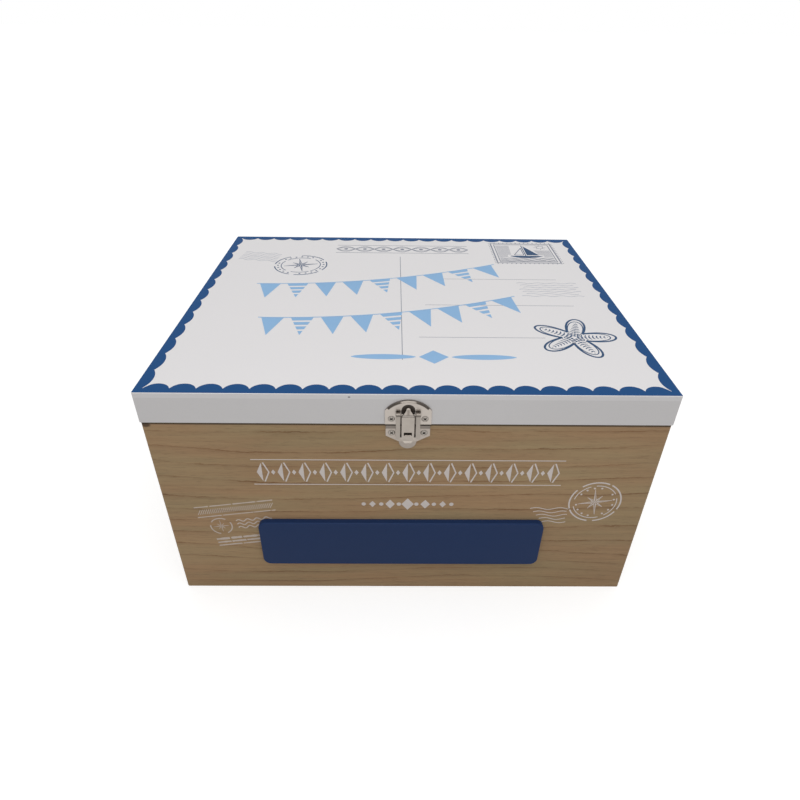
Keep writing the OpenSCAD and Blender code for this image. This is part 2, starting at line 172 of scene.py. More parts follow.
# The pale and the warm ground, and the growth lines
WALL_TONES = ((0.402, 0.288, 0.160), (0.414, 0.266, 0.147), (0.165, 0.073, 0.028))
BOTTOM_TONES = ((0.46, 0.35, 0.22), (0.47, 0.34, 0.21), (0.27, 0.18, 0.10))
RING_PITCH = 11.2 * MM
RING_WANDER = 16 * MM
RING_JITTER = 2.4 * MM
RINGS_OF_DRIFT = 7.0
# Darkness through one ring: a faint line, then the growth line with a slow rise and a quick end
RING_PROFILE = [
    (0.0, 0.0),
    (0.36, 0.02),
    (0.42, 0.22),
    (0.47, 0.02),
    (0.72, 0.06),
    (0.90, 0.34),
    (0.945, 1.0),
    (0.965, 0.90),
    (1.0, 0.0),
]
LINE_DEPTH = 0.74
LEAST_TONE, STREAK_TONE, CLOUD_TONE, PORE_TONE = 0.66, 0.40, 0.34, 0.16
# Colour of the painted shadow line close under the lid
SEAM_SHADOW_COLOUR = (0.050, 0.036, 0.025)


def wood(name, grain, pith, shift=0.0, tones=WALL_TONES, spot=None, edge=None):
    """Plain-sawn wood: growth lines round a pith line, pores and streaks along the grain.

    grain is "x" or "y", pith a point of the pith line, and shift makes each board its own.
    """
    made, tree, where = material(name)
    pale, warm, deep = tones
    along = (1, 0, 0) if grain == "x" else (0, 1, 0)
    across = tuple(1 - a for a in along)

    def noise(a, b, detail, rough=0.5, offset=(0, 0, 0)):
        """Noise of frequency a along the grain and b across it."""
        return tree.noise(where, 1.0, tuple(a if k else b for k in along), detail, rough, offset)

    def wobble(size, *shape):
        centred = tree.vector("SUBTRACT", noise(*shape)["Color"], (0.5, 0.5, 0.5))
        return tree.vector("MULTIPLY", centred, (size, size, size))

    wander = wobble(RING_WANDER, 7, 26, 2.0, 0.5, (shift, 0, shift))
    jitter = wobble(RING_JITTER, 150, 340, 3.0, 0.65, (shift, 1, shift))
    moved = tree.vector("ADD", tree.vector("ADD", where, wander), jitter)
    from_pith = tree.vector("MULTIPLY", tree.vector("SUBTRACT", moved, pith), across)
    rings = tree.math("DIVIDE", tree.vector("LENGTH", from_pith), RING_PITCH)
    drift = tree.times(noise(1.5, 9, 1.0, 0.5, (0, shift, 3))["Fac"], RINGS_OF_DRIFT)
    line = tree.ramp(tree.math("FRACT", tree.plus(rings, drift)), RING_PROFILE)
    patch = tree.ramp(noise(24, 90, 4.0, 0.7, (5, shift, 1))["Fac"], [(0.36, 0.12), (0.62, 1.0)])
    line = tree.times(tree.times(line, patch), LINE_DEPTH)
    streak = noise(16, 620, 4.0, 0.6)["Fac"]
    pore = tree.ramp(noise(150, 2300, 1.0)["Fac"], [(0.60, 0.0), (0.70, 1.0)])
    cloud = noise(6, 18, 2.0, 0.5, (shift, 2, 7))["Fac"]
    hue = tree.ramp(noise(9, 70, 2.0, 0.5, (shift, 9, 3))["Fac"], [(0.38, 0.0), (0.62, 1.0)])
    tone = tree.plus(tree.times(streak, STREAK_TONE), tree.times(cloud, CLOUD_TONE))
    tone = tree.minus(tree.plus(tone, LEAST_TONE), tree.times(pore, PORE_TONE))
    colour = tree.scaled(tree.mix(line, tree.mix(hue, pale, warm), deep), tone)
    if spot:
        colour = spotted(tree, where, colour, spot)
    # Painted shadow line along the top of the board, under the lid
    if edge:
        colour = banded(tree, where, colour, [edge], SEAM_SHADOW_COLOUR)
    relief = tree.minus(tree.times(streak, 0.5), tree.plus(line, pore))
    rough = tree.plus(tree.times(streak, 0.18), 0.50)
    shade(tree, colour, rough, tree.bump(relief, 0.30, 0.12 * MM), Specular_IOR_Level=0.18)
    return made


# Paint and ink

# Painted shade in the paint's hollows: its colour, reach and ramp
PAINT_SHADE_COLOUR = (0.050, 0.040, 0.034)
PAINT_HOLLOW = 3 * MM
PAINT_SHADE_STOPS = [(0.30, 0.95), (0.62, 0.10), (0.80, 0.0)]


def paint(name, colour, tone, rough, gloss=0.4, spot=None):
    """Sprayed paint: a faint cloudiness, a fine skin and painted shade in the hollows."""
    made, tree, where = material(name)
    cloud = tree.noise(where, 9)["Fac"]
    skin = tree.noise(where, 900, detail=2.0)["Fac"]
    value = tree.plus(tree.times(cloud, 2 * tone), 1 - tone)
    value = tree.plus(value, tree.times(tree.minus(skin, 0.5), tone))
    shown = tree.scaled(colour, value)
    if spot:
        shown = spotted(tree, where, shown, spot)
    # Painted shade in the hollows and narrow gaps
    shown = shade_hollows(tree, shown, PAINT_HOLLOW, PAINT_SHADE_STOPS, PAINT_SHADE_COLOUR)
    uneven = tree.plus(tree.times(cloud, 0.16), rough - 0.08)
    shade(tree, shown, uneven, tree.bump(skin, 0.10, 0.05 * MM), Specular_IOR_Level=gloss)
    return made


def ink(name, colour, wear):
    """Screen-printed ink: a slightly uneven film, thinner in specks."""
    made, tree, where = material(name)
    film = tree.noise(where, 260, detail=4.0, rough=0.7)["Fac"]
    cloud = tree.noise(where, 30, detail=2.0)["Fac"]
    value = tree.plus(tree.plus(tree.times(film, wear), tree.times(cloud, wear)), 1 - wear)
    uneven = tree.plus(tree.times(film, 0.2), 0.45)
    normal = tree.bump(film, 0.05, 0.03 * MM)
    shade(tree, tree.scaled(colour, value), uneven, normal, Specular_IOR_Level=0.05)
    return made


# Nickel plating

# Colour of the painted shade on faces that look up
UPWARD_SHADE_COLOUR = (0.150, 0.132, 0.116)
# Colour of the painted shade in the metal's hollows and darkened bands
SHADED_METAL = (0.045, 0.036, 0.030)
METAL_HOLLOW = 1.6 * MM
HOLLOW_SHADE_DEPTHS = (0.96, 0.14, 0.0)
# How much painted shade the metal takes by how far it faces up
UPWARD_SHADE_RAMP = [(0.20, 0.0), (0.55, 0.62), (0.95, 0.80)]


def nickel(name, colour, rough=0.30, bands=(), hollow_shade=(0.24, 0.52, 0.78)):
    """Thin plated sheet, mottled, with painted shade where it faces up and in hollows, and darkened
    in bands.

    The last argument gives the openness at which the painted shade in the hollows has each of its
    depths.
    """
    made, tree, where = material(name)
    drawn = tree.noise(where, 1.0, (160, 160, 1900), 3.0, 0.6)["Fac"]
    cloud = tree.noise(where, 210)["Fac"]
    shown = tree.scaled(colour, tree.plus(tree.times(cloud, 0.30), 0.85))
    facing = tree.node("ShaderNodeTexCoord").outputs["Normal"]
    upward = tree.node("ShaderNodeSeparateXYZ", {0: facing}).outputs["Z"]
    # Painted shade where the metal faces up
    shown = tree.mix(tree.ramp(upward, UPWARD_SHADE_RAMP), shown, UPWARD_SHADE_COLOUR)
    shown = banded(tree, where, shown, bands, SHADED_METAL)
    # Painted shade in the hollows and narrow gaps
    shown = shade_hollows(tree, shown, METAL_HOLLOW, list(zip(hollow_shade, HOLLOW_SHADE_DEPTHS)), SHADED_METAL)
    uneven = tree.plus(tree.times(cloud, 0.18), rough - 0.07)
    uneven = tree.plus(uneven, tree.times(drawn, 0.06))
    shade(tree, shown, uneven, tree.bump(drawn, 0.12, 0.03 * MM), Metallic=1.0)
    return made


def dress(made, *names):
    """Gives the named CAD nodes one material."""
    for name in names:
        slots = nodes[name].material_slots
        if len(slots):
            for slot in slots:
                slot.material = made
        else:
            nodes[name].data.materials.append(made)


# The boards of the box body

FAR = 1.0  # metres, past every edge of the box
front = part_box("front_wall")[0]
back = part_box("back_wall")[1]
seam = back.z
SKIN = 0.4 * MM


def seam_shadow_band(axis, low, high):
    """A painted shadow line along the top of an outer face, close under the lid."""
    return {axis: (low, high, 0.1 * MM), "Z": (seam - 1.4 * MM, FAR, 0.5 * MM)}, 0.85


dark_corner = Spot(
    place=(-147.5 * MM, front.y, 138.5 * MM),
    reach=(3.4 * MM, 4.0 * MM, 2.0 * MM),
    colour=(0.060, 0.036, 0.022),
    depth=0.85,
    core=0.55,
)
# Painted shadow lines under the lid on the walls' outer faces
front_seam_shadow = seam_shadow_band("Y", -FAR, front.y + SKIN)
back_seam_shadow = seam_shadow_band("Y", back.y - SKIN, FAR)
side_seam_shadow = seam_shadow_band("X", back.x - SKIN, FAR)
front_wood = wood(
    "front_board_wood", "x", (0, -0.100, -0.260), spot=dark_corner, edge=front_seam_shadow
)
back_wood = wood("back_board_wood", "x", (0, 0.020, -0.310), shift=11.0, edge=back_seam_shadow)
left_wood = wood("left_board_wood", "y", (-0.050, 0, -0.280), shift=23.0, edge=side_seam_shadow)
right_wood = wood("right_board_wood", "y", (0.060, 0, -0.330), shift=37.0, edge=side_seam_shadow)
bottom_wood = wood("bottom_board_wood", "x", (0, 0.3, -0.02), shift=51.0, tones=BOTTOM_TONES)
dress(front_wood, "front_wall")
dress(back_wood, "back_wall")
dress(left_wood, "left_wall")
dress(right_wood, "right_wall")
dress(bottom_wood, "bottom_board")

# The painted lid and name plate

TOP_WHITE = (0.805, 0.787, 0.793)
RIM_WHITE = (0.740, 0.722, 0.720)
NAVY = (0.0100, 0.0310, 0.103)
RIM_TONE, RIM_ROUGH = 0.03, 0.44
lid_low, lid_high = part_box("lid_board")
rim_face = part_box("lid_front_rail")[0].y
chip = Spot(
    place=(-32.5 * MM, lid_low.y, 158.3 * MM),
    reach=(0.9 * MM, 1.0 * MM, 0.6 * MM),
    colour=(0.12, 0.12, 0.13),
    depth=0.8,
    core=0.5,
)
# Painted shadow on the lid's front rail, seen through the window of the latch plate
window_shadow = Spot(
    place=(0, rim_face, seam + 10.3 * MM),
    reach=(8.0 * MM, 10.0 * MM, 5.5 * MM),
    colour=(0.044, 0.031, 0.022),
    depth=0.98,
    core=0.5,
)
top_paint = paint("lid_board_paint", TOP_WHITE, 0.02, 0.52, spot=chip)
front_rim_paint = paint("lid_front_rim_paint", RIM_WHITE, RIM_TONE, RIM_ROUGH, spot=window_shadow)
rim_paint = paint("lid_rim_paint", RIM_WHITE, RIM_TONE, RIM_ROUGH)
name_paint = paint("name_plate_paint", NAVY, 0.12, 0.50, gloss=0.16)
dress(top_paint, "lid_board")
dress(front_rim_paint, "lid_front_rail")
dress(rim_paint, "lid_back_rail", "lid_left_rail", "lid_right_rail")
dress(name_paint, "name_plate")

# The latch and the hinges

LATCH_SHEET = 0.8 * MM
plate_face = rim_face - LATCH_SHEET
pin_low, pin_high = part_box("latch_pin")
pin_mid = (pin_low.z + pin_high.z) / 2


def from_to(low, high, soft):
    """The limits of a band in metres, with its softness in millimetres."""
    return (low, high, soft * MM)


# Painted dark reflection along the flanks of the arched bead
bead_flank_reflection = (
    {"X": from_to(3.6 * MM, FAR, 1.2), "Y": from_to(-FAR, plate_face - 0.16 * MM, 0.22)},
    0.90,
)
# Painted shade behind the flap's slits, on the lid and catch plates
slit_shade = (
    {"X": from_to(3.4 * MM, 4.6 * MM, 0.2), "Z": from_to(seam - 8.0 * MM, pin_mid - 0.8 * MM, 0.4)},
    0.85,
)
# Painted shade over the curled tongue of the lid plate
curl_shade = (
    {"X": from_to(-FAR, 3.6 * MM, 0.2), "Z": from_to(pin_mid - 1.0 * MM, pin_mid + 3.4 * MM, 0.4)},
    0.30,
)
# Painted dark reflection down the middle of the curl, between its ridges
curl_dark_reflection = (
    {"X": from_to(-FAR, 1.2 * MM, 1.0), "Z": from_to(pin_mid + 0.2 * MM, pin_mid + 3.2 * MM, 0.6)},
    0.50,
)
# Painted shadow of the lid plate on the top of the catch plate
lid_shadow_band = ({"Z": from_to(seam - 3.0 * MM, FAR, 0.6)}, 0.55)
# Painted shadow of the flap's end on the catch plate's foot
foot_shadow = ({"Z": from_to(-FAR, seam - 11.2 * MM, 0.8)}, 0.22)
# Painted shadow line along the flap's knuckles
knuckle_shadow = ({"Z": from_to(pin_mid - 0.6 * MM, pin_mid + 0.6 * MM, 0.3)}, 0.65)
flap_arms = ({"X": from_to(4.5 * MM, FAR, 0.2)}, 0.17)
plate_plating = nickel(
    "latch_plate_plating",
    (0.450, 0.406, 0.366),
    bands=[bead_flank_reflection, slit_shade, curl_shade, curl_dark_reflection],
    hollow_shade=(0.14, 0.40, 0.70),
)
flap_plating = nickel("latch_flap_plating", (0.380, 0.341, 0.302), bands=[knuckle_shadow, flap_arms])
catch_plating = nickel(
    "latch_catch_plating", (0.375, 0.330, 0.292), bands=[lid_shadow_band, slit_shade, foot_shadow]
)
small_plating = nickel(
    "pin_and_screw_plating", (0.350, 0.318, 0.286), 0.34, hollow_shade=(0.40, 0.74, 0.94)
)
hinge_plating = nickel("hinge_nickel_plating", (0.420, 0.384, 0.348), 0.33)
dress(plate_plating, "latch_lid_plate")
dress(flap_plating, "latch_flap")
dress(catch_plating, "latch_catch_plate")
dress(small_plating, "latch_pin", "latch_lid_screws", "latch_catch_screws")
dress(hinge_plating, "left_hinge_body_leaf", "left_hinge_lid_leaf", "left_hinge_pin")
dress(hinge_plating, "right_hinge_body_leaf", "right_hinge_lid_leaf", "right_hinge_pin")
dress(hinge_plating, "hinge_body_screws", "hinge_lid_screws")

# Print

SKIRT = 0.03 * MM  # how far the edge of a film reaches into what carries it
COAT_STEP = 0.002 * MM
COATS = 12
SAME_POINT = 0.0005 * MM
ARC_STEP = 6.0
WAVE_STEPS = 40


class Print:
    """Flat printed shapes on one face, made as a film a few hundredths of a millimetre thick.

    Places are u, v in millimetres: x and y on the lid, x and z on the front board.
    Shapes that cross lie a hair above one another, unless the film is all one coat.
    """

    def __init__(self, name, face, film, made, body, one_coat=False):
        self.name, self.face, self.film = name, face, film * MM
        self.made, self.body = made, body
        self.mesh = bmesh.new()
        self.step = 0.0 if one_coat else COAT_STEP
        self.shapes = 0

    def next_height(self):
        self.shapes += 1
        return self.film + self.shapes % COATS * self.step

    def place(self, u, v, h):
        if self.face == "lid":
            return Vector((u * MM, v * MM, lid_high.z + h))
        return Vector((u * MM, front.y - h, v * MM))

    def polygon(self, points):
        pairs = zip(points, points[1:] + points[:1])
        area = sum(a[0] * b[1] - b[0] * a[1] for a, b in pairs)
        ring = points if area > 0 else points[::-1]
        h = self.next_height()
        self.mesh.faces.new([self.mesh.verts.new(self.place(u, v, h)) for u, v in ring])

    def stroke(self, points, width, closed=False):
        """A line along points; width is one number or one per point."""
        widths = [width] * len(points) if isinstance(width, (int, float)) else width
        count = len(points)
        h = self.next_height()
        sides = []
        for i, (u, v) in enumerate(points):
            before = points[i - 1] if i or closed else points[i]
            after = points[(i + 1) % count] if i + 1 < count or closed else points[i]
            du, dv = after[0] - before[0], after[1] - before[1]
            size = math.hypot(du, dv) or 1.0
            nu, nv = -dv / size * widths[i] / 2, du / size * widths[i] / 2
            left = self.mesh.verts.new(self.place(u + nu, v + nv, h))
            sides.append((left, self.mesh.verts.new(self.place(u - nu, v - nv, h))))
        for (a0, b0), (a1, b1) in zip(sides, sides[1:] + sides[:1] if closed else sides[1:]):
            self.mesh.faces.new([b0, b1, a1, a0])

    def dot(self, u, v, r, sides=14):
        self.polygon([(u + r * math.cos(a), v + r * math.sin(a)) for a in turns(sides)])

    def done(self):
        """Gives the film its edge, makes it an object and lets it ride on its body."""
        bmesh.ops.remove_doubles(self.mesh, verts=self.mesh.verts, dist=SAME_POINT)
        edge = [e for e in self.mesh.edges if e.is_boundary]
        grown = bmesh.ops.extrude_edge_only(self.mesh, edges=edge)["geom"]
        down = self.place(0, 0, -SKIRT) - self.place(0, 0, self.film)
        for v in grown:
            if isinstance(v, bmesh.types.BMVert):
                v.co += down
        bmesh.ops.recalc_face_normals(self.mesh, faces=self.mesh.faces)
        data = bpy.data.meshes.new(self.name)
        self.mesh.to_mesh(data)
        self.mesh.free()
        data.materials.append(self.made)
        made = bpy.data.objects.new(self.name, data)
        bpy.context.scene.collection.objects.link(made)
        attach(made, self.body)


def turns(count):
    return [math.tau * i / count for i in range(count)]


def arc(u, v, r, start, end, step=ARC_STEP, squash=1.0):
    """Points on an arc, angles in degrees."""
    count = max(2, int(abs(end - start) / step) + 1)
    angles = [math.radians(start + (end - start) * i / (count - 1)) for i in range(count)]
    return [(u + r * math.cos(a), v + r * squash * math.sin(a)) for a in angles]


def turned(points, angle, centre):
    c, s = math.cos(math.radians(angle)), math.sin(math.radians(angle))
    cu, cv = centre
    return [(cu + (u - cu) * c - (v - cv) * s, cv + (u - cu) * s + (v - cv) * c) for u, v in points]


def wave_line(u0, u1, v, height, pitch):
    line = []
    for i in range(WAVE_STEPS + 1):
        run = (u1 - u0) * i / WAVE_STEPS
        line.append((u0 + run, v + height * math.sin(math.tau * run / pitch)))
    return line


def broken_ring(sheet, u, v, r, width, gaps):
    """A ring with worn gaps, each (start, end) in degrees and in order."""
    for (_, a), (b, _) in zip(gaps, gaps[1:] + [(gaps[0][0] + 360, 0)]):
        sheet.stroke(arc(u, v, r, a, b), width)


def ring_of_dots(sheet, u, v, r, size, step, start, skipped):
    """Dots round a ring; skipped is (every, at): the dots that have worn away."""
    every, at = skipped
    for k in range(round(360 / step)):
        a = math.radians(step * k + start)
        if k % every != at:
            sheet.dot(u + r * math.cos(a), v + r * math.sin(a), size, 8)


def compass(sheet, u, v, long, short, tilt):
    """An eight-pointed star of split rays."""
    side = math.radians(22.5)
    neck = 0.30 * short
    for k in range(8):
        reach = long if k % 2 == 0 else short
        a = math.radians(tilt + 45 * k)
        tip = (u + reach * math.cos(a), v + reach * math.sin(a))
        left = (u + neck * math.cos(a + side), v + neck * math.sin(a + side))
        right = (u + neck * math.cos(a - side), v + neck * math.sin(a - side))
        sheet.polygon([(u, v), left, tip])
        sheet.stroke([tip, right], 0.05 * short)


# The scalloped border of the lid

UPRIGHT_R = 1.0  # rounding of the lid's upright edges
SIDE_MARGIN = 0.05
FRONT_MARGIN = 0.7
CORNER_IN = 4.7
CORNER_POINTS = (1.0, 0.7, 0.4, 0.0)
FRONT_SCALLOPS = 20
SIDE_SCALLOPS = 13
SCALLOP_STEPS = 12
lid_x = lid_high.x / MM - SIDE_MARGIN
lid_front = lid_low.y / MM + FRONT_MARGIN
lid_back = lid_high.y / MM - SIDE_MARGIN


def on_lid(u, v):
    """Pulls a point at a corner of the lid back to its rounded upright edge."""
    middle, half = (lid_low.y + lid_high.y) / 2 / MM, (lid_high.y - lid_low.y) / 2 / MM
    du, dv = abs(u) - (lid_high.x / MM - UPRIGHT_R), abs(v - middle) - (half - UPRIGHT_R)
    if du <= 0 or dv <= 0:
        return u, v
    over = max(1.0, math.hypot(du, dv) / (UPRIGHT_R - SIDE_MARGIN))
    return (
        math.copysign(abs(u) - du + du / over, u),
        middle + math.copysign(abs(v - middle) - dv + dv / over, v - middle),
    )


def scallop_row(sheet, length, count, cusp, crest, at):
    """A row of scallops, each its own shape; at(along, inset) gives a place on the lid."""
    pitch = length / count
    rise = crest - cusp
    radius = (pitch * pitch / 4 + rise * rise) / (2 * rise)
    for k in range(count):
        curve = []
        for i in range(SCALLOP_STEPS + 1):
            s = pitch * (i / SCALLOP_STEPS - 0.5)
            along = pitch * (k + 0.5) + s
            inset = cusp + math.sqrt(radius**2 - s * s) - (radius - rise)
            curve.append(at(along, min(inset, CORNER_IN + min(along, length - along))))
        sheet.polygon([at(pitch * k, 0), at(pitch * (k + 1), 0)] + curve[::-1])


def border():
    """Scallops all round the lid, with a hair of white left along the front edge."""
    blue = ink("border_blue_ink", (0.016, 0.078, 0.225), 0.10)
    sheet = Print("lid_scalloped_border", "lid", 0.04, blue, "lid", one_coat=True)
    width, depth = 2 * (lid_x - CORNER_IN), lid_back - lid_front - 2 * CORNER_IN
    near, far = lid_front + CORNER_IN, lid_back - CORNER_IN
    left, right = CORNER_IN - lid_x, lid_x - CORNER_IN
    # Each row: its length, its scallops, the inset of their cusps and crests, and where it runs
    rows = (
        (width, FRONT_SCALLOPS, 4.3, 9.3, lambda a, d: (left + a, lid_front + d)),
        (depth, SIDE_SCALLOPS, 4.5, 7.3, lambda a, d: (lid_x - d, near + a)),
        (width, FRONT_SCALLOPS, 4.6, 8.9, lambda a, d: (right - a, lid_back - d)),
        (depth, SIDE_SCALLOPS, 4.5, 7.3, lambda a, d: (d - lid_x, far - a)),
    )
    for row in rows:
        scallop_row(sheet, *row)
    for (length, _, cusp, _, at), (_, _, next_cusp, _, next_at) in zip(rows, rows[1:] + rows[:1]):
        ring = [at(length, cusp), at(length, 0)]
        ring += [on_lid(*at(length + CORNER_IN - short, 0)) for short in CORNER_POINTS]
        ring += [on_lid(*next_at(short - CORNER_IN, 0)) for short in CORNER_POINTS[2::-1]]
        sheet.polygon(ring + [next_at(0, 0), next_at(0, next_cusp)])
    sheet.done()


border()

# The card print of the lid

pale_blue = ink("pale_blue_ink", (0.300, 0.510, 0.775), 0.06)
grey_ink = ink("grey_line_ink", (0.26, 0.28, 0.34), 0.16)
faint_ink = ink("faint_line_ink", (0.48, 0.50, 0.56), 0.10)
navy_ink = ink("navy_line_ink", (0.045, 0.095, 0.190), 0.20)


def card_lines():
    """The upright divider and the three rules of a card."""
    sheet = Print("lid_card_lines", "lid", 0.03, grey_ink, "lid")
    sheet.stroke([(-3.0, 82.0), (-3.0, -92.0)], 0.45)
    for left, right, v in ((24, 118, 34), (14, 120, -14), (8, 89, -63)):
        sheet.stroke([(left, v), (right, v)], 0.38)
    sheet.done()


def rope_band():
    """A two-strand rope band in thin outline, between two rules."""
    sheet = Print("lid_rope_band", "lid", 0.04, grey_ink, "lid")
    u0, u1, v, high, count, steps = -58.0, 56.0, 100.0, 6.2, 7, 24
    pitch = (u1 - u0) / count
    for side in (1, -1):
        for inset in (0.0, 2.4):
            line = []
            for i in range(count * steps + 1):
                u = u0 + pitch * i / steps
                line.append((u, v + side * (high - inset) * math.sin(math.pi * (u - u0) / pitch)))
            sheet.stroke(line, 0.8)
    for k in range(count):
        sheet.dot(u0 + pitch * (k + 0.5), v, 1.7)
    for side in (1, -1):
        rule = v + side * (high + 3.0)
        sheet.stroke([(u0, rule), (u1, rule)], 0.6)
    sheet.done()


def pennant(sheet, top_left, top_right, drop, striped):
    """A triangular flag hung from two points of a cord, solid or in stripes."""
    mid = ((top_left[0] + top_right[0]) / 2, (top_left[1] + top_right[1]) / 2)
    along = (top_right[0] - top_left[0], top_right[1] - top_left[1])
    size = math.hypot(*along)
    tip = (mid[0] + along[1] / size * drop, mid[1] - along[0] / size * drop)

    def at(corner, depth):
        return (corner[0] + (tip[0] - corner[0]) * depth, corner[1] + (tip[1] - corner[1]) * depth)

    stripes = [(0.0, 0.16), (0.26, 0.42), (0.52, 0.68), (0.78, 1.0)] if striped else [(0.0, 1.0)]
    for near, far in stripes:
        low = [tip] if far == 1 else [at(top_left, far), at(top_right, far)]
        sheet.polygon([at(top_left, near)] + low + [at(top_right, near)])


def bunting():
    """Two swags of pennants on thin cords."""
    sheet = Print("lid_bunting", "lid", 0.06, pale_blue, "lid")
    count, steps, length = 9, 8, 25.0
    for start, end, sag in (((-112, 22), (74, 66), 12), ((-100, -36), (80, 2), 11)):
        cord = []
        for i in range(count * steps + 1):
            t = i / (count * steps)
            u = start[0] + (end[0] - start[0]) * t
            v = start[1] + (end[1] - start[1]) * t - 4 * sag * t * (1 - t)
            cord.append((u, v))
        sheet.stroke(cord, 0.9)
        for k in range(count):
            ends = (cord[steps * k + 1], cord[steps * k + steps - 1])
            pennant(sheet, *[(u, v - 0.7) for u, v in ends], length, k % 3 == 1)
    sheet.done()


def swelled_rule():
    """A long band that tapers to both ends, with a lozenge at its middle."""
    sheet = Print("lid_swelled_rule", "lid", 0.05, pale_blue, "lid")
    u0, u1, v, half_gap, steps = -34.0, 66.0, -88.5, 11, 16
    mid = (u0 + u1) / 2
    swell = [0.5 + 5.6 * math.sin(math.pi * i / steps) ** 0.6 for i in range(steps + 1)]
    for a, b in ((u0, mid - half_gap), (mid + half_gap, u1)):
        sheet.stroke([(a + (b - a) * i / steps, v) for i in range(steps + 1)], swell)
    sheet.polygon([(mid - 9, v), (mid, v - 8), (mid + 9, v), (mid, v + 8)])
    sheet.done()


def sea_star():
    """A five-armed star drawn in navy lines, with dotted ridges."""
    sheet = Print("lid_sea_star", "lid", 0.05, navy_ink, "lid")
    cu, cv, tilt, arms, ridges = 108.0, -62.0, 74.0, 5, 9

    def rim(reach, squeeze):
        points = []
        for a in turns(160):
            lobe = abs(math.cos(arms / 2 * a)) ** squeeze
            r = reach * (0.34 + 0.66 * lobe)
            a += math.radians(tilt)
            points.append((cu + r * math.cos(a), cv + r * math.sin(a)))
        return points

    sheet.stroke(rim(27.0, 1.7), 1.4, closed=True)
    sheet.stroke(rim(23.4, 1.9), 0.7, closed=True)
    for arm in range(arms):
        a = math.radians(tilt + 360 / arms * arm)
        c, s = math.cos(a), math.sin(a)

        def at(along, across):
            return (cu + along * c - across * s, cv + along * s + across * c)

        for k in range(1, ridges + 1):
            d = 2.4 * k
            sheet.dot(*at(d, 0), 0.95 - 0.07 * k, 10)
            reach = 4.6 - 0.42 * k
            if k < ridges:
                for far in (reach, -reach):
                    sheet.stroke([at(d, 0.30 * far), at(d + 0.9, far)], [0.9, 0.35])
    for arm in range(arms):
        between = tilt + 360 / arms * (arm + 0.5)
        for k in range(3):
            half = 9 - 2 * k
            sheet.stroke(arc(cu, cv, 8.2 - 1.7 * k, between - half, between + half, 4), 0.6)
    sheet.done()


def boat_stamp():
    """A perforated frame round a plain sailing boat."""
    sheet = Print("lid_boat_stamp", "lid", 0.05, grey_ink, "lid")
    dark = Print("lid_boat_stamp_boat", "lid", 0.08, navy_ink, "lid")
    u0, u1, v0, v1 = 78.0, 131.0, 70.0, 117.0
    mid, inner = (u0 + u1) / 2, 3.6

    def outline(sheet, corners, width):
        for p, q in zip(corners, corners[1:] + corners[:1]):
            sheet.stroke([p, q], width)

    for inset, width in ((0.0, 1.1), (2.6, 0.7)):
        a, b, c, d = u0 + inset, u1 - inset, v0 + inset, v1 - inset
        outline(sheet, [(a, c), (b, c), (b, d), (a, d)], width)
    hole_r, hole_out, holes_wide, holes_high = 0.55, 1.6, 15, 13
    for k in range(holes_wide):
        for v in (v0 - hole_out, v1 + hole_out):
            sheet.dot(u0 + (u1 - u0) * k / (holes_wide - 1), v, hole_r, 10)
    for k in range(holes_high):
        for u in (u0 - hole_out, u1 + hole_out):
            sheet.dot(u, v0 + (v1 - v0) * k / (holes_high - 1), hole_r, 10)

    # Hull, mast, filled sail and outlined sail
    deck = 86.6
    hull = arc(mid, 88.0, 14.0, 205, 335, 8, 0.42)
    dark.polygon([(mid - 13.5, deck)] + hull + [(mid + 15.0, deck)])
    dark.stroke([(mid, deck), (mid, 112.0)], 0.7)
    dark.polygon([(mid + 1.2, 88.6), (mid + 11.5, 88.6), (mid + 1.2, 110.5)])
    outline(dark, [(mid - 1.4, 88.8), (mid - 9.5, 88.8), (mid - 1.4, 106.0)], 0.5)

    # Sea below, ruled sky on both sides and a sun in the gap at the right
    for k, v in enumerate((81.4, 79.4, 77.4, 75.4, 73.9)):
        sheet.stroke(wave_line(u0 + inner, u1 - inner, v, 0.6, 7.5 + k), 0.6)
    for k in range(15):
        v = 84.5 + 1.9 * k
        gap = 15.5 if v < 90 else 12.5
        sheet.stroke([(u0 + inner, v), (mid - gap + 0.1 * k, v)], 0.5)
        far = mid + gap if v < 90 else mid + 13 - 0.5 * k
        if not 101 < v < 115:
            sheet.stroke([(far, v), (u1 - inner, v)], 0.5)
    sun_u, sun_v = u1 - 10.5, 108.0
    sheet.stroke(arc(sun_u, sun_v, 3.0, 0, 354, 18), 0.5, closed=True)
    for a in turns(8):
        c, s = math.cos(a), math.sin(a)
        sheet.stroke([(sun_u + r * c, sun_v + r * s) for r in (3.9, 5.4)], 0.35)
    sheet.done()
    dark.done()


def postmark():
    """Worn rings round a compass star, with cancelling waves to one side."""
    sheet = Print("lid_ring_mark", "lid", 0.04, navy_ink, "lid")
    centre = (-84.0, 61.0)
    outer_gaps = [(20, 34), (95, 121), (176, 190), (251, 262), (318, 330)]
    broken_ring(sheet, *centre, 21.0, 0.90, outer_gaps)
    broken_ring(sheet, *centre, 15.8, 0.60, [(48, 66), (140, 150), (228, 247), (300, 306)])
    compass(sheet, *centre, 13.6, 8.4, 12.0)
    ring_of_dots(sheet, *centre, 18.4, 0.8, 15, 4, (7, 3))
    sheet.done()
    faint = Print("lid_cancel_waves", "lid", 0.03, faint_ink, "lid")
    for k in range(6):
        faint.stroke(turned(wave_line(-136, -104, 88 - 3.4 * k, 1.1, 11.0), -9, (-120, 80)), 0.6)
    for k in range(7):
        faint.stroke(wave_line(86 + 2 * (k % 3), 132 - 3 * (k % 2), 27 - 4.0 * k, 0.8, 13.0), 0.55)
    faint.done()


card_lines()
rope_band()
bunting()
swelled_rule()
sea_star()
boat_stamp()
postmark()

# The print of the front board

white_ink = ink("white_print_ink", (0.78, 0.71, 0.67), 0.12)
worn_ink = ink("worn_white_ink", (0.67, 0.58, 0.51), 0.20)


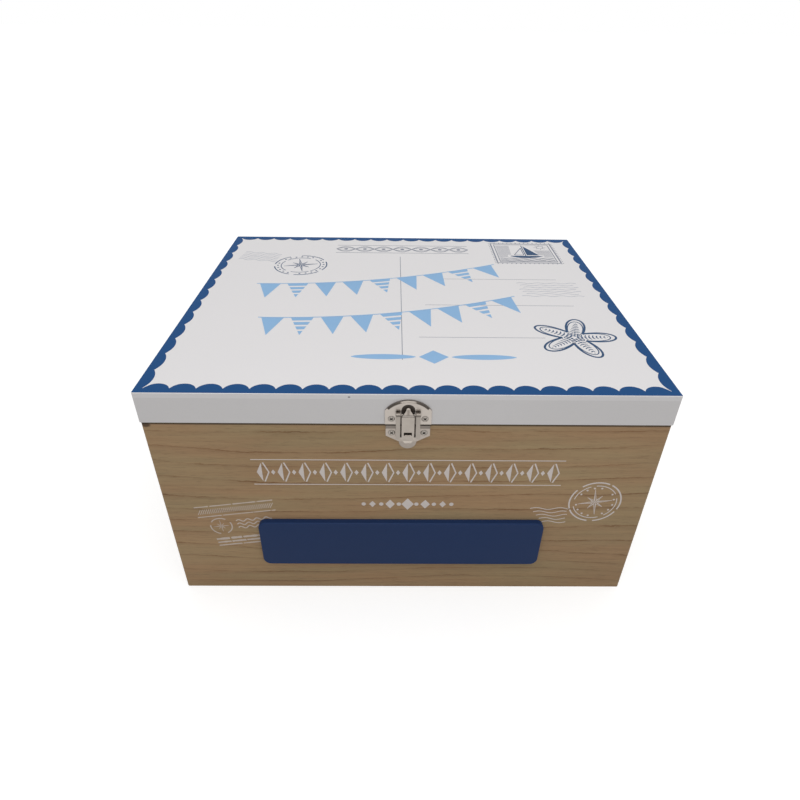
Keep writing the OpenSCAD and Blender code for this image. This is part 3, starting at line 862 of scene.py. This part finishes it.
def lozenge(sheet, u, v, half_wide, half_high):
    sheet.polygon([(u - half_wide, v), (u, v - half_high), (u + half_wide, v), (u, v + half_high)])


def lozenge_row():
    """A row of tall split lozenges with small ones between."""
    sheet = Print("front_lozenge_row", "front", 0.05, white_ink, "box_body")
    u0, u1, v, high, half, count = -92.0, 94.0, 104.0, 9.6, 3.6, 15
    pitch = (u1 - u0) / count
    for k in range(count):
        u = u0 + pitch * (k + 0.5)
        sheet.polygon([(u - half, v), (u - 0.4, v - high + 2.4), (u - 0.4, v + high - 2.4)])
        sheet.stroke([(u + 0.6, v - high + 2.2), (u + half, v), (u + 0.6, v + high - 2.2)], 0.9)
        if k + 1 < count:
            lozenge(sheet, u + pitch / 2, v, 1.3, 2.0)
    for side in (1, -1):
        sheet.stroke([(u0, v + side * high), (u1, v + side * high)], 0.55)
    sheet.done()


def small_row():
    """Small lozenges and dots, largest in the middle."""
    sheet = Print("front_small_row", "front", 0.05, white_ink, "box_body")
    u0, u1, v, count = -29.0, 31.0, 78.3, 11
    for k in range(count):
        u = u0 + (u1 - u0) * (k + 0.5) / count
        if k % 2:
            size = 4.8 - 0.55 * abs(k - count // 2)
            lozenge(sheet, u, v, 0.8 * size, size)
        else:
            sheet.dot(u, v, 1.4, 12)
    sheet.done()


def worn_stamp():
    """A slanting block of worn bars and hatching, as from a rubber stamp."""
    random.seed(4)
    sheet = Print("front_worn_stamp", "front", 0.04, worn_ink, "box_body")
    tilt, centre, mark = 8.0, (-105.0, 60.0), (-117.5, 58.5)

    def bar(u0, u1, v, width):
        while u0 < u1:
            end = min(u0 + random.uniform(7, 16), u1)
            points = [(u0 + (end - u0) * i / 5, v) for i in range(6)]
            widths = [width * random.uniform(0.6, 1.0) for _ in points]
            sheet.stroke(turned(points, tilt, centre), widths)
            u0 = end + random.uniform(0.3, 1.0)

    for v, width in ((78.0, 1.1), (69.5, 0.9)):
        bar(-130, -80, v, width)
    for k in range(34):
        u = -129 + 1.4 * k
        sheet.stroke(turned([(u, 71.8), (u + 2.4, 75.6)], tilt, centre), 0.45)
    for v in (63.5, 60.5, 57.5):
        sheet.stroke(turned(wave_line(-107, -84, v, 0.9, 6.0), tilt, centre), 0.8)
    broken_ring(sheet, *mark, 6.8, 0.8, [(30, 60), (150, 175), (260, 300)])
    compass(sheet, *mark, 5.2, 3.2, 8.0)
    for v, width in ((49.0, 2.0), (46.0, 1.7), (43.2, 1.1)):
        bar(-124, -90, v, width)
    sheet.done()


def ring_mark():
    """A worn ring with a compass star and trailing wave lines."""
    sheet = Print("front_ring_mark", "front", 0.05, white_ink, "box_body")
    centre = (117.6, 80.6)
    outer_gaps = [(60, 66), (128, 142), (200, 204), (262, 275), (330, 338)]
    broken_ring(sheet, *centre, 16.0, 0.95, outer_gaps)
    broken_ring(sheet, *centre, 13.4, 0.60, [(14, 30), (96, 110), (170, 196), (288, 304)])
    compass(sheet, *centre, 10.6, 6.4, 9.0)
    ring_of_dots(sheet, *centre, 11.6, 0.7, 22.5, 11, (5, 2))
    for k in range(5):
        sheet.stroke(wave_line(78 + 2.2 * k, 102 - 0.8 * (k % 2), 75.0 - 2.9 * k, 0.8, 15.0), 0.5)
    sheet.done()


lozenge_row()
small_row()
worn_stamp()
ring_mark()

# Floor, world and lamps

FLOOR_REACH = 12.0
FLOOR_GREY, FLOOR_MOTTLE = 0.56, 0.01
FLOOR_LIFT = 0.64  # brings the floor to white where the camera sees it, with no light on the object
WORLD_FILL = 0.28
KEY_SUN = 1.50
SIDE_LAMP = 0.46


def seen_directly(tree):
    """1 for what the camera sees, straight or in metal and glass, and 0 for light on the object."""
    ray = tree.node("ShaderNodeLightPath").outputs
    seen = tree.math("MAXIMUM", ray["Is Camera Ray"], ray["Is Glossy Ray"])
    return tree.math("MAXIMUM", seen, ray["Is Transmission Ray"])


corners = [(u * FLOOR_REACH, v * FLOOR_REACH, 0) for u, v in ((-1, -1), (1, -1), (1, 1), (-1, 1))]
floor_mesh = bpy.data.meshes.new("floor")
floor_mesh.from_pydata(corners, [], [(0, 1, 2, 3)])
floor = bpy.data.objects.new("floor", floor_mesh)
bpy.context.scene.collection.objects.link(floor)
floor_made, tree, where = material("floor_card")
mottle = tree.noise(where, 3.0)["Fac"]
tone = tree.ramp(mottle, [(0.0, FLOOR_GREY - FLOOR_MOTTLE), (1.0, FLOOR_GREY + FLOOR_MOTTLE)])
card = tree.node("ShaderNodeBsdfDiffuse", {"Color": tone})
lift = tree.node("ShaderNodeEmission", {"Strength": tree.times(seen_directly(tree), FLOOR_LIFT)})
both = tree.node("ShaderNodeAddShader", {0: card.outputs[0], 1: lift.outputs[0]})
tree.node("ShaderNodeOutputMaterial", {"Surface": both.outputs[0]})
floor_mesh.materials.append(floor_made)

world = bpy.data.worlds.new("studio")
bpy.context.scene.world = world
world.use_nodes = True
tree = Tree(world.node_tree)
seen = tree.node("ShaderNodeBackground", {"Color": (1, 1, 1, 1), "Strength": 1.0})
fill = tree.node("ShaderNodeBackground", {"Color": (1, 1, 1, 1), "Strength": WORLD_FILL})
shaders = {0: seen_directly(tree), 1: fill.outputs[0], 2: seen.outputs[0]}
both = tree.node("ShaderNodeMixShader", shaders)
tree.node("ShaderNodeOutputWorld", {"Surface": both.outputs[0]})


def lamp(name, kind, place, toward, energy, **settings):
    data = bpy.data.lights.new(name, kind)
    data.energy = energy
    for key, value in settings.items():
        setattr(data, key, value)
    made = bpy.data.objects.new(name, data)
    made.location = place
    made.rotation_mode = "QUATERNION"
    made.rotation_quaternion = Vector(toward).to_track_quat("-Z", "Y")
    bpy.context.scene.collection.objects.link(made)


lamp("key_light", "SUN", (0, 0, 2), (-0.08, -0.10, -1.0), KEY_SUN, angle=math.radians(100))
lamp("camera_side_light", "AREA", (0, -0.47, 0.46), (0, 0.34, -0.36), SIDE_LAMP, size=0.3)

# Camera, from a perspective fit to the box's edges in the photo

FOCAL_PX, FRAME_PX, SENSOR = 583.52, 800, 36.0
PITCH, YAW, ROLL = 33.8864, -0.9073, 0.8630
STAND = Vector((-8.90, -395.07, 334.50)) * MM


def cos_sin(degrees):
    return math.cos(math.radians(degrees)), math.sin(math.radians(degrees))


camera_data = bpy.data.cameras.new("camera")
camera_data.sensor_width = SENSOR
camera_data.lens = FOCAL_PX * SENSOR / FRAME_PX
camera_data.clip_start, camera_data.clip_end = 0.01, 100
camera = bpy.data.objects.new("camera", camera_data)
bpy.context.scene.collection.objects.link(camera)
bpy.context.scene.camera = camera
(cy, sy), (cp, sp), (cr, sr) = cos_sin(YAW), cos_sin(PITCH), cos_sin(ROLL)
base = Matrix(((1, 0, 0), (0, 0, -1), (0, 1, 0)))
yaw = Matrix(((cy, sy, 0), (-sy, cy, 0), (0, 0, 1)))
pitch = Matrix(((1, 0, 0), (0, cp, -sp), (0, sp, cp)))
roll = Matrix(((cr, -sr, 0), (sr, cr, 0), (0, 0, 1)))
right, down, ahead = roll @ pitch @ base @ yaw
camera.matrix_world = Matrix(
    (
        (right.x, -down.x, -ahead.x, STAND.x),
        (right.y, -down.y, -ahead.y, STAND.y),
        (right.z, -down.z, -ahead.z, STAND.z),
        (0, 0, 0, 1),
    )
)
bpy.context.scene.view_settings.view_transform = "Standard"
